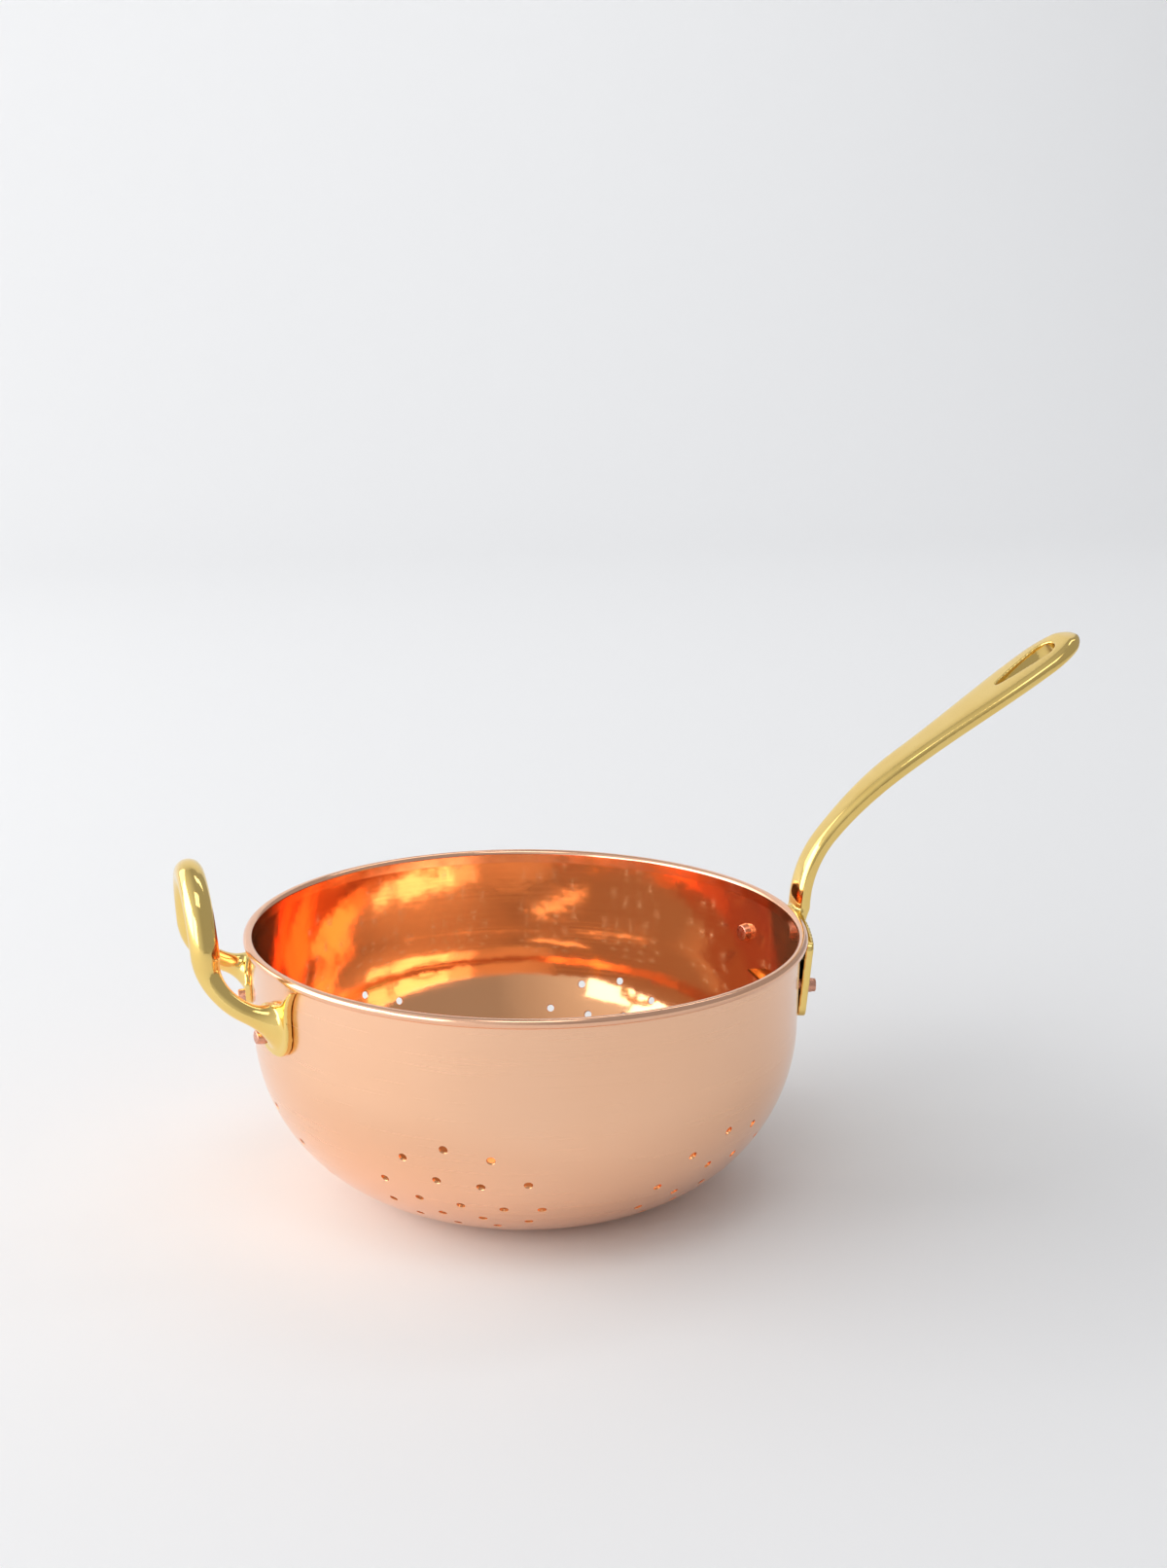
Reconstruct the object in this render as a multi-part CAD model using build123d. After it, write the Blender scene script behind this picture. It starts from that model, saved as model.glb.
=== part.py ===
from build123d import *
import os
from math import cos, degrees, pi, radians, sin, sqrt

# Two-handled copper colander. Millimetres, +Z up, origin on the table under the centre of the base.
# The long handle points along +X and the loop handle along -X.

# --- Bowl: spun copper, flat base, one large arc up to an almost upright wall ---
WALL = 1.2                    # sheet thickness
BASE_RADIUS = 42.5            # flat disc that the bowl stands on
SIDE_RADIUS = 74.0            # outer radius of the arc between the base and the wall
WALL_FLARE = 0.6              # how much wider the wall is at the rim than at the top of the arc
RIM_HEIGHT = 111.9            # height of the centre of the rolled rim

# --- Rolled rim: the sheet is curled outwards over a wire ---
WIRE_DIAMETER = 1.6
WIRE_FIT = 0.05               # clearance round the wire
CURL_END = 108.0              # degrees that the curl runs on from its outermost point, under the wire

# --- Drain holes: rosettes of a centre hole and two rings ---
HOLE_DIAMETER = 3.4
SIDE_ROSETTES = (             # drilled by eye: degrees round the bowl, degrees up the side arc
    (0.0, 48.0),
    (53.0, 48.0),
    (119.0, 48.0),
    (180.0, 48.0),
    (240.4, 52.5),
    (302.5, 48.0),
)
ROSETTE_SAG = 0.68            # share of its round height that a side rosette's lower half has
INNER_RING_RADIUS = 17.2
INNER_RING_HOLES = 6
INNER_RING_TURN = -5.0        # degrees by which the ring is turned
OUTER_RING_RADIUS = 32.2
OUTER_RING_HOLES = 11
OUTER_RING_TURN = -3.0

# --- Rivets: solid copper, head inside the bowl, hammered end outside the handle ---
RIVET_DIAMETER = 5.0
RIVET_FIT = 0.1               # clearance round the shank
RIVET_HEAD_DIAMETER = 8.2
RIVET_HEAD_HEIGHT = 2.9
RIVET_HEAD_TAPER = 0.5        # how much smaller in radius the head is at its face
RIVET_END_DIAMETER = 6.4
RIVET_END_HEIGHT = 3.0
RIVET_END_TAPER = 0.35
RIVET_EDGE = 0.5              # rounding of both ends
SEAT_FIT = 0.05               # gap between two seated metal faces

# --- Long handle: cast brass pad, neck, arm and hanging eye; drops and rises are from the rim ---
PAD_HALF_WIDTH = 38.0
PAD_BOTTOM_DROP = 34.9
PAD_WING_DROP = 4.4           # upper corners of the pad
PAD_CORNER = 5.0
PAD_THICKNESS = 3.4
PAD_EDGE = 0.9                # rounding of the pad's edges
PAD_WALL_GAP = 0.3            # gap to the wall at the pad's lower edge
PAD_RIVET_SPREAD = 30.0       # each rivet's distance from the handle's middle, round the wall
PAD_RIVET_DROP = 19.9
PAD_SHOULDER_RISE = 1.1       # where the sloping shoulders run into the neck
NECK_ROOT_DROP = 14.9         # where the neck begins to rise from the pad
NECK_STANDOFF = 1.9           # gap between the rim and the neck that passes it
NECK_THICKNESS = 6.7
NECK_WIDTH = 13.4
NECK_SPREAD = 1.9             # how many times wider the neck is at its root
NECK_SPREAD_ABOVE = 1.2       # the same, where it has risen clear of the pad
NECK_TOP_RISE = 0.6           # where the neck begins to bend
NECK_BEND_RADIUS = 49.0
ARM_BEND_ANGLE = 50.0         # slope of the arm where the tight bend ends
ARM_SWEEP_RADIUS = 162.0
ARM_ANGLE = 33.2              # slope of the straight outer arm
ARM_THICKNESS = 7.0
ARM_WIDTH = 19.0              # where the straight part begins
ARM_LENGTH = 98.0             # straight part, to the tip
ARM_EDGE = 2.2                # rounding of the arm's long edges
EYE_WIDTH = 29.6              # the arm's greatest width, round the eye
EYE_REACH = 23.0              # from the tip to the place of greatest width
TIP_TAPER = 6.0               # length over which the tip thins to nothing
SLOT_LENGTH = 32.4
SLOT_WIDTH = 12.6
SLOT_POINT_RADIUS = 1.3
SLOT_BULGE = 0.62             # share of the slot's length at which its sides are set
SLOT_BULGE_DIP = 0.25         # how far they lie inside its half width there
SLOT_TO_TIP = 11.5            # metal between the slot and the tip

# --- Loop handle: cast brass loop on two riveted feet; drops and rises are from the rim ---
LOOP_THICKNESS = 11.7
LOOP_TOP_RISE = 41.3          # highest point of the loop
LOOP_STANDOFF = 21.7          # from the outside of the rim to the middle of the loop's top
LOOP_LEAN = 2.4               # how far the arch leans out over the limbs
LOOP_SPRING_RISE = 6.1        # where the arch springs from the limbs
LOOP_HALF_WIDTH = 25.5        # from the loop's middle plane to the middle of each limb
LOOP_SEAM = (1.0, 0.0, 0.35)  # direction in which every section of the loop starts
STEM_THICKNESS = 8.8          # where a limb turns in towards the bowl
STEM_DROP = 23.4              # where a stem meets the wall
STEM_SPREAD = 36.5            # from the middle plane to the middle of a stem's flared end
STEM_FLARE = 7.8              # radius of the flared end
STEM_OVERLAP = 1.0            # how far a stem is drawn past its foot, before it is cut back
FOOT_SPREAD = 32.5            # from the middle plane to the middle of a foot, round the wall
FOOT_HALF_WIDTH = 13.8
FOOT_HALF_HEIGHT = 12.0
FOOT_DROP = 23.9              # middle of a foot
FOOT_BODY_SHIFT = 0.45        # shares of the half width: place and size of the leaf's body
FOOT_BODY_SHARE = 0.55
FOOT_BODY_RISE = 2.0
FOOT_THICKNESS = 3.0
FOOT_EDGE = 1.0
FOOT_WALL_GAP = 0.1
FOOT_TIP_SPREAD = 48.5        # the pointed upper end of a foot, under the rim
FOOT_TIP_RADIUS = 2.2
FOOT_TIP_GAP = 0.6            # gap between that point and the rim
FOOT_RIVET_SPREAD = 25.0
FOOT_RIVET_DROP = 28.4

# --- Worked out from the above ---
WALL_RADIUS = BASE_RADIUS + SIDE_RADIUS            # outside of the wall, at the top of the arc
RIM_RADIUS = WALL_RADIUS + WALL_FLARE              # outside of the wall, at the rim
WIRE_CAVITY = WIRE_DIAMETER / 2 + WIRE_FIT
BEAD_RADIUS = WIRE_CAVITY + WALL                   # outer radius of the curl's own section
BEAD_CENTRE = RIM_RADIUS + WIRE_CAVITY             # from the bowl's axis to the wire's middle
BEAD_OUTSIDE = BEAD_CENTRE + BEAD_RADIUS
RIM_UNDERSIDE = RIM_HEIGHT - BEAD_RADIUS
PAD_BOTTOM = RIM_HEIGHT - PAD_BOTTOM_DROP
PAD_WING_TOP = RIM_HEIGHT - PAD_WING_DROP
PAD_RIVET_HEIGHT = RIM_HEIGHT - PAD_RIVET_DROP
PAD_SHOULDER_TOP = RIM_HEIGHT + PAD_SHOULDER_RISE
NECK_ROOT = RIM_HEIGHT - NECK_ROOT_DROP
NECK_TOP = RIM_HEIGHT + NECK_TOP_RISE
LOOP_TOP = RIM_HEIGHT + LOOP_TOP_RISE
LOOP_SPRING = RIM_HEIGHT + LOOP_SPRING_RISE
LOOP_REACH = BEAD_OUTSIDE + LOOP_STANDOFF          # from the bowl's axis to the middle of the loop's top
STEM_HEIGHT = RIM_HEIGHT - STEM_DROP
FOOT_HEIGHT = RIM_HEIGHT - FOOT_DROP
FOOT_RIVET_HEIGHT = RIM_HEIGHT - FOOT_RIVET_DROP


def wall_radius(height):
    """Outer radius of the bowl at a height above the side arc's lowest point."""
    if height < SIDE_RADIUS:
        drop = SIDE_RADIUS - height
        return BASE_RADIUS + sqrt(SIDE_RADIUS ** 2 - drop ** 2)
    share = (height - SIDE_RADIUS) / (RIM_HEIGHT - SIDE_RADIUS)
    return WALL_RADIUS + WALL_FLARE * share


def wall_angle(spread):
    """Degrees round the bowl that match a distance along its wall."""
    return degrees(spread / RIM_RADIUS)


def bowl_profile(inset, top):
    """Line from the axis out along the base, up the side arc and the wall, set in by inset."""
    radius = SIDE_RADIUS - inset
    diagonal = radius / sqrt(2)
    base = Line((0, inset), (BASE_RADIUS, inset))
    side = ThreePointArc(
        (BASE_RADIUS, inset),
        (BASE_RADIUS + diagonal, SIDE_RADIUS - diagonal),
        (BASE_RADIUS + radius, SIDE_RADIUS),
    )
    flare = WALL_FLARE * (top - SIDE_RADIUS) / (RIM_HEIGHT - SIDE_RADIUS)
    wall = Line((BASE_RADIUS + radius, SIDE_RADIUS), (BASE_RADIUS + radius + flare, top))
    return [base, side, wall]


def shell_face():
    """Half section of the sheet, from the base to the middle of the rim."""
    outside = bowl_profile(0, RIM_HEIGHT)
    inside = bowl_profile(WALL, RIM_HEIGHT)
    rim = Line(outside[2] @ 1, inside[2] @ 1)
    axis = Line(outside[0] @ 0, inside[0] @ 0)
    return make_face([*outside, rim, *inside, axis])


def curl_face():
    """Half section of the curl: a ring round the wire, open beneath between its end and the wall."""
    centre = Pos(BEAD_CENTRE, RIM_HEIGHT)
    ring = centre * (Circle(BEAD_RADIUS) - Circle(WIRE_CAVITY))
    reach = 2 * BEAD_RADIUS
    end = radians(-CURL_END)
    gap = Polygon(
        (0, 0), (-reach, 0), (-reach, -reach), (reach * cos(end), reach * sin(end)), align=None
    )
    return ring - centre * gap


def solid_of_revolution(face):
    """Turn a half section, drawn in X and Z, about the bowl's axis."""
    return revolve(Plane.XZ * face, Axis.Z)


def bowl_solid(swell):
    """Everything inside the bowl's outer surface, up to the rim, swollen or (below 0) shrunk."""
    outline = bowl_profile(-swell, RIM_HEIGHT)
    top = Line(outline[2] @ 1, (0, RIM_HEIGHT))
    axis = Line((0, RIM_HEIGHT), outline[0] @ 0)
    return solid_of_revolution(make_face([*outline, top, axis]))


def rosette_points():
    """A centre point, an inner ring and an outer ring, in the plane."""
    points = [(0.0, 0.0)]
    rings = (
        (INNER_RING_RADIUS, INNER_RING_HOLES, INNER_RING_TURN),
        (OUTER_RING_RADIUS, OUTER_RING_HOLES, OUTER_RING_TURN),
    )
    for radius, count, turn in rings:
        for index in range(count):
            angle = radians(turn + 360 * index / count)
            points.append((radius * cos(angle), radius * sin(angle)))
    return points


def side_hole(azimuth, middle, across, up):
    """Drill for one hole of a side rosette, square to the sheet."""
    rise = up if up > 0 else ROSETTE_SAG * up
    climb = radians(middle) + rise / SIDE_RADIUS
    half_way = radians(middle) + rise / SIDE_RADIUS / 2
    turn = radians(azimuth) + across / (BASE_RADIUS + SIDE_RADIUS * sin(half_way))
    radius = BASE_RADIUS + SIDE_RADIUS * sin(climb)
    height = SIDE_RADIUS * (1 - cos(climb))
    outward = Vector(sin(climb) * cos(turn), sin(climb) * sin(turn), -cos(climb))
    place = Plane(origin=(radius * cos(turn), radius * sin(turn), height), z_dir=outward)
    return place * Cylinder(HOLE_DIAMETER / 2, 4 * WALL)


def drain_holes():
    """Drills for the rosettes round the side and the one in the base."""
    drills = []
    for across, along in rosette_points():
        drills.append(Pos(across, along, 0) * Cylinder(HOLE_DIAMETER / 2, 4 * WALL))
    for azimuth, middle in SIDE_ROSETTES:
        for across, up in rosette_points():
            drills.append(side_hole(azimuth, middle, across, up))
    return drills


def rivet_axes():
    """Each rivet: its name, its angle round the bowl and its height."""
    pad_turn = wall_angle(PAD_RIVET_SPREAD)
    foot_turn = wall_angle(FOOT_RIVET_SPREAD)
    return [
        ("long_handle_rivet_front", -pad_turn, PAD_RIVET_HEIGHT),
        ("long_handle_rivet_rear", pad_turn, PAD_RIVET_HEIGHT),
        ("helper_rivet_front", 180 + foot_turn, FOOT_RIVET_HEIGHT),
        ("helper_rivet_rear", 180 - foot_turn, FOOT_RIVET_HEIGHT),
    ]


def rivet_place(turn, height):
    """Plane on the bowl's axis at a rivet's height, whose Z runs out along the rivet."""
    outward = Vector(cos(radians(turn)), sin(radians(turn)), 0)
    return Plane(origin=(0, 0, height), z_dir=outward, x_dir=(0, 0, 1))


def rivet_drill(turn, height):
    """Clearance hole for a rivet, through wall and handle."""
    length = BEAD_OUTSIDE + 20
    drill = Cylinder(RIVET_DIAMETER / 2 + RIVET_FIT, length, align=(Align.CENTER, Align.CENTER, Align.MIN))
    return rivet_place(turn, height) * drill


def make_bowl():
    """Spun sheet with its curled rim, the drain holes and the rivet holes."""
    shell = solid_of_revolution(shell_face() + curl_face())
    rivets = [rivet_drill(turn, height) for _, turn, height in rivet_axes()]
    return shell - drain_holes() - rivets


def make_rim_wire():
    """Wire closed to a ring inside the curl."""
    section = Pos(BEAD_CENTRE, RIM_HEIGHT) * Circle(WIRE_DIAMETER / 2)
    return solid_of_revolution(section)


def pad_inner_radius(height):
    """The pad leans out from the wall at its lower edge to clear the rolled rim."""
    low = wall_radius(PAD_BOTTOM) + PAD_WALL_GAP
    high = BEAD_OUTSIDE + SEAT_FIT
    return low + (high - low) * (height - PAD_BOTTOM) / (RIM_HEIGHT - PAD_BOTTOM)


def pad_outline():
    """The pad seen along the handle: square below, with shoulders that slope up to the neck."""
    neck = NECK_WIDTH / 2
    face = Polygon(
        (-PAD_HALF_WIDTH, PAD_BOTTOM),
        (PAD_HALF_WIDTH, PAD_BOTTOM),
        (PAD_HALF_WIDTH, PAD_WING_TOP),
        (neck, PAD_SHOULDER_TOP),
        (-neck, PAD_SHOULDER_TOP),
        (-PAD_HALF_WIDTH, PAD_WING_TOP),
        align=None,
    )
    corners = face.vertices().filter_by(lambda corner: abs(corner.X) > neck + 1)
    return fillet(corners, PAD_CORNER)


def pad_solid(swell):
    """Everything inside the cone that the pad's inner face lies on, swollen outwards."""
    below = PAD_BOTTOM - 10
    above = PAD_SHOULDER_TOP + 10
    section = Polygon(
        (0, below),
        (pad_inner_radius(below) + swell, below),
        (pad_inner_radius(above) + swell, above),
        (0, above),
        align=None,
    )
    return solid_of_revolution(section)


def pad_plate():
    """The pad: a strip of a cone, trimmed to its outline and rounded at its edges."""
    shell = pad_solid(PAD_THICKNESS) - pad_solid(0)
    block = extrude(Plane.YZ * pad_outline(), BEAD_OUTSIDE + 20)
    plate = shell & block
    return fillet(plate.edges(), PAD_EDGE)


def arm_path():
    """Middle line of the neck and arm, in the plane of the long handle."""
    start = (BEAD_OUTSIDE + NECK_STANDOFF + NECK_THICKNESS / 2, NECK_TOP)
    tight = radians(ARM_BEND_ANGLE)
    bend_end = (
        start[0] + NECK_BEND_RADIUS * (1 - sin(tight)),
        start[1] + NECK_BEND_RADIUS * cos(tight),
    )
    bend = TangentArc(start, bend_end, tangent=(0, 1))
    slope = radians(ARM_ANGLE)
    sweep_end = (
        bend_end[0] + ARM_SWEEP_RADIUS * (sin(tight) - sin(slope)),
        bend_end[1] + ARM_SWEEP_RADIUS * (cos(slope) - cos(tight)),
    )
    sweep_arc = TangentArc(bend_end, sweep_end, tangent=(cos(tight), sin(tight)))
    tip = (sweep_end[0] + ARM_LENGTH * cos(slope), sweep_end[1] + ARM_LENGTH * sin(slope))
    return [bend, sweep_arc, Line(sweep_end, tip)]


def arm_section(place, tangent, thickness, width, edge):
    """Rounded section of the arm, square to its middle line."""
    plane = Plane(
        origin=(place.X, 0, place.Y), x_dir=(0, 1, 0), z_dir=(tangent.X, 0, tangent.Y)
    )
    corner = min(edge, 0.48 * thickness, 0.48 * width)
    return plane * RectangleRounded(width, thickness, corner)


def arm_width(to_tip):
    """Width of the straight outer arm at a distance from its tip."""
    if to_tip < EYE_REACH:
        share = 1 - to_tip / EYE_REACH
        return EYE_WIDTH * sqrt(1 - share ** 2)
    share = (to_tip - EYE_REACH) / (ARM_LENGTH - EYE_REACH)
    return ARM_WIDTH + (EYE_WIDTH - ARM_WIDTH) * (1 + cos(pi * share)) / 2


def make_arm():
    """Neck and arm: one smooth loft from inside the pad to the rounded tip."""
    bend, sweep_arc, straight = arm_path()
    start = bend @ 0
    sections = []
    for share in (0.0, 0.3, 0.6):
        height = NECK_ROOT + share * (NECK_TOP - NECK_ROOT)
        middle = pad_inner_radius(height) + PAD_THICKNESS / 2
        rise = share ** 2 * (start.X - pad_inner_radius(NECK_TOP) - PAD_THICKNESS / 2)
        thickness = PAD_THICKNESS + share * (NECK_THICKNESS - PAD_THICKNESS)
        width = NECK_WIDTH * (NECK_SPREAD + share * (NECK_SPREAD_ABOVE - NECK_SPREAD))
        place = Vector(middle + rise, height)
        sections.append(arm_section(place, bend % 0, thickness, width, ARM_EDGE))
    stations = [
        (bend, 0.0, NECK_THICKNESS, 1.08 * NECK_WIDTH),
        (bend, 0.5, NECK_THICKNESS, NECK_WIDTH),
        (sweep_arc, 0.0, NECK_THICKNESS, 1.03 * NECK_WIDTH),
        (sweep_arc, 0.5, ARM_THICKNESS, (NECK_WIDTH + ARM_WIDTH) / 2),
    ]
    for edge, share, thickness, width in stations:
        sections.append(arm_section(edge @ share, edge % share, thickness, width, ARM_EDGE))
    inner = [EYE_REACH + share * (ARM_LENGTH - EYE_REACH) for share in (1.0, 0.65, 0.39, 0.17)]
    outer = [EYE_REACH * share for share in (1.0, 0.65, 0.39, 0.22, 0.1, 0.035)]
    for to_tip in inner + outer:
        share = 1 - to_tip / ARM_LENGTH
        width = arm_width(to_tip)
        thickness = ARM_THICKNESS * min(1.0, sqrt(to_tip / TIP_TAPER))
        sections.append(arm_section(straight @ share, straight % share, thickness, width, ARM_EDGE))
    return loft(sections)


def eye_slot():
    """Cutter for the hanging eye: a teardrop with bulging sides, square to the arm."""
    straight = arm_path()[2]
    slope = straight % 1
    tip = straight @ 1
    origin = Vector(tip.X, 0, tip.Y) - Vector(slope.X, 0, slope.Y) * (SLOT_TO_TIP + SLOT_LENGTH)
    plane = Plane(origin=origin, x_dir=(slope.X, 0, slope.Y), z_dir=(-slope.Y, 0, slope.X))
    big = SLOT_WIDTH / 2
    small = SLOT_POINT_RADIUS
    far = SLOT_LENGTH - big
    bulge = (small + SLOT_BULGE * far, big - SLOT_BULGE_DIP)
    sides = []
    for hand in (1, -1):
        sides.append(ThreePointArc((small, hand * small), (bulge[0], hand * bulge[1]), (far, hand * big)))
    nose = ThreePointArc((small, small), (0, 0), (small, -small))
    round_end = ThreePointArc((far, big), (SLOT_LENGTH, 0), (far, -big))
    return extrude(plane * make_face([*sides, nose, round_end]), 2 * ARM_THICKNESS, both=True)


def make_long_handle():
    """Pad, neck, arm and eye, cast in one piece, with its rivet holes."""
    body = pad_plate() + make_arm()
    body = body - eye_slot()
    body = body - bowl_solid(SEAT_FIT)
    for name, turn, height in rivet_axes():
        if name.startswith("long"):
            body = body - rivet_drill(turn, height)
    return body


def foot_outward():
    """Level direction out of the wall at one flared stem end."""
    turn = STEM_SPREAD / RIM_RADIUS
    return Vector(-cos(turn), -sin(turn), 0)


def loop_stations():
    """Half of the loop's middle line, from its top to the foot on the -Y side, with its half sizes."""
    grip = LOOP_THICKNESS / 2
    stem = STEM_THICKNESS / 2
    rise = LOOP_TOP - grip - LOOP_SPRING
    stations = []
    for angle in (0, 25, 50, 72, 90):
        turn = radians(angle)
        place = Vector(
            LOOP_LEAN * (1 - cos(turn)) - LOOP_REACH,
            -LOOP_HALF_WIDTH * sin(turn),
            LOOP_SPRING + rise * cos(turn),
        )
        stations.append((place, grip))
    limb = stations[-1][0]
    end = foot_outward() * wall_radius(STEM_HEIGHT) + Vector(0, 0, STEM_HEIGHT)
    for angle in (20, 42, 58, 73):
        turn = radians(angle)
        place = Vector(
            end.X + (limb.X - end.X) * cos(turn),
            limb.Y + (end.Y - limb.Y) * (1 - cos(turn)),
            end.Z + (limb.Z - end.Z) * (1 - sin(turn)),
        )
        thinning = max(0.0, 1 - angle / 45) ** 2
        flaring = max(0.0, angle / 45 - 1) ** 2
        size = stem + (grip - stem) * thinning + (STEM_FLARE - stem) * flaring
        stations.append((place, size))
    return stations


def make_loop():
    """Loop and stems: one loft of round sections that flares and runs through the feet."""
    half = loop_stations()
    outward = foot_outward()
    end_radius = wall_radius(STEM_HEIGHT) + FOOT_WALL_GAP - STEM_OVERLAP
    end = outward * end_radius + Vector(0, 0, STEM_HEIGHT)
    places = [place for place, size in half] + [end]
    over = [Vector(place.X, -place.Y, place.Z) for place in places[:0:-1]]
    line = Spline(*over, *places)
    sections = []
    for place, size in half:
        tangent = line.tangent_at(line.param_at_point(place))
        sections.append(Plane(origin=place, x_dir=LOOP_SEAM, z_dir=tangent) * Circle(size))
    flare = Plane(origin=end, x_dir=(0, 0, 1), z_dir=-outward)
    sections.append(flare * Circle(STEM_FLARE))
    other = [mirror(section, Plane.XZ) for section in sections[:0:-1]]
    return loft([*other, *sections])


def foot_solid(swell):
    """Everything inside the cone that continues the wall up and down, swollen outwards."""
    below = FOOT_HEIGHT - 2 * FOOT_HALF_HEIGHT
    slope = WALL_FLARE / (RIM_HEIGHT - SIDE_RADIUS)
    low = RIM_RADIUS - slope * (RIM_HEIGHT - below)
    section = Polygon(
        (0, below), (low + swell, below), (RIM_RADIUS + swell, RIM_HEIGHT), (0, RIM_HEIGHT), align=None
    )
    return solid_of_revolution(section)


def foot_plate():
    """One foot: a leaf lying on the wall, its point tucked under the rim."""
    lobe = Pos(FOOT_SPREAD, FOOT_HEIGHT) * Ellipse(FOOT_HALF_WIDTH, FOOT_HALF_HEIGHT)
    tip_height = RIM_UNDERSIDE - FOOT_TIP_GAP - FOOT_TIP_RADIUS
    tip = Pos(FOOT_TIP_SPREAD, tip_height) * Circle(FOOT_TIP_RADIUS)
    middle = FOOT_SPREAD + FOOT_BODY_SHIFT * FOOT_HALF_WIDTH
    body = Pos(middle, FOOT_HEIGHT + FOOT_BODY_RISE) * Circle(FOOT_BODY_SHARE * FOOT_HALF_WIDTH)
    leaf = lobe + make_hull(tip.edges() + body.edges())
    outline = Plane(origin=(0, 0, 0), x_dir=(0, -1, 0), z_dir=(-1, 0, 0)) * leaf
    block = extrude(outline, BEAD_OUTSIDE + 20)
    shell = foot_solid(FOOT_WALL_GAP + FOOT_THICKNESS) - foot_solid(FOOT_WALL_GAP)
    plate = shell & block
    outer = plate.faces().sort_by(Axis.X)[0]
    return fillet(outer.edges(), FOOT_EDGE)


def make_helper_handle():
    """Loop, stems and both feet, cast in one piece, with its rivet holes: one half and its mirror."""
    half = split(make_loop(), Plane.XZ, keep=Keep.TOP) + foot_plate()
    half = half - foot_solid(FOOT_WALL_GAP)
    for name, turn, height in rivet_axes():
        if name == "helper_rivet_front":
            half = half - rivet_drill(turn, height)
    return half + mirror(half, Plane.XZ)


def rivet_button(start, length, radius, taper):
    """Tapered button along a rivet, smallest and rounded at its outer face."""
    low = (Align.CENTER, Align.CENTER, Align.MIN)
    button = Cone(radius, radius - taper, length, align=low)
    return Pos(0, 0, start) * fillet(button.edges().group_by(Axis.Z)[-1], RIVET_EDGE)


def make_rivet(turn, height, outer, seat):
    """Rivet formed on both sides: a head against the inside of the wall, an end against its seat."""
    place = rivet_place(turn, height)
    overlap = 1.0
    inner = wall_radius(height) - WALL
    head_length = RIVET_HEAD_HEIGHT + overlap
    head = rivet_button(-inner - overlap, head_length, RIVET_HEAD_DIAMETER / 2, RIVET_HEAD_TAPER)
    head = place * (Rot(180, 0, 0) * head) & bowl_solid(-WALL - SEAT_FIT)
    end_length = RIVET_END_HEIGHT + overlap
    end = rivet_button(outer - overlap, end_length, RIVET_END_DIAMETER / 2, RIVET_END_TAPER)
    end = place * end - seat
    low = (Align.CENTER, Align.CENTER, Align.MIN)
    shank_start = inner - RIVET_HEAD_HEIGHT / 2
    shank_length = outer + RIVET_END_HEIGHT / 2 - shank_start
    shank = place * (Pos(0, 0, shank_start) * Cylinder(RIVET_DIAMETER / 2, shank_length, align=low))
    return head + shank + end


def main():
    os.makedirs("parts", exist_ok=True)
    parts = {
        "bowl": make_bowl(),
        "rim_wire": make_rim_wire(),
        "long_handle": make_long_handle(),
        "helper_handle": make_helper_handle(),
    }
    pad_face = pad_inner_radius(PAD_RIVET_HEIGHT) + PAD_THICKNESS
    pad_seat = pad_solid(PAD_THICKNESS + SEAT_FIT)
    foot_face = wall_radius(FOOT_RIVET_HEIGHT) + FOOT_WALL_GAP + FOOT_THICKNESS
    foot_seat = foot_solid(FOOT_WALL_GAP + FOOT_THICKNESS + SEAT_FIT)
    for name, turn, height in rivet_axes():
        if name.startswith("long"):
            parts[name] = make_rivet(turn, height, pad_face, pad_seat)
        else:
            parts[name] = make_rivet(turn, height, foot_face, foot_seat)
    for name, shape in parts.items():
        export_step(shape, f"parts/{name}.step")


if __name__ == "__main__":
    main()
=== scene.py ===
from math import cos, pi, radians, sin, sqrt

import bmesh
import bpy
from mathutils import Matrix, Vector


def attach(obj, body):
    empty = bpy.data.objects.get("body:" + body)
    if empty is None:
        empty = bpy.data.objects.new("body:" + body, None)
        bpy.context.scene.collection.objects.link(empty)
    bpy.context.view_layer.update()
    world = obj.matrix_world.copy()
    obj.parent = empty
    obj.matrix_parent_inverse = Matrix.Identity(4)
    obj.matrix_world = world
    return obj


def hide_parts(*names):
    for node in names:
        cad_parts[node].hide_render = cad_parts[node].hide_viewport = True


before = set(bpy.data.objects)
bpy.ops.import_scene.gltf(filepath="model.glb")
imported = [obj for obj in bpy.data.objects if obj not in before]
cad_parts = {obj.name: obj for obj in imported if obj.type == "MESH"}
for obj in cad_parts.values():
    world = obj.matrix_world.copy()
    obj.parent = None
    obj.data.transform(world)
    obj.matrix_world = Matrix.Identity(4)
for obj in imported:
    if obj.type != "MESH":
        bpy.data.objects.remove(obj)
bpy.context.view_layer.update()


# --- Table and backdrop -------------------------------------------------------------------
# A pale matt paper sheet, laid flat under the colander and swept up behind it. It is scenery, so
# it is staged and isn't part of the model.
MM = 0.001
paper_half_width = 2.2
paper_front = -1.5
sweep_start = 1.9
sweep_radius = 0.9
sweep_steps = 16
wall_height = 3.2


def paper_profile():
    """The sheet's run from front to back: flat, a quarter turn, then straight up."""
    run = [(paper_front, 0.0), (sweep_start, 0.0)]
    for step in range(1, sweep_steps + 1):
        turn = radians(90 * step / sweep_steps)
        run.append((sweep_start + sweep_radius * sin(turn), sweep_radius * (1 - cos(turn))))
    run.append((sweep_start + sweep_radius, wall_height))
    return run


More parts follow.
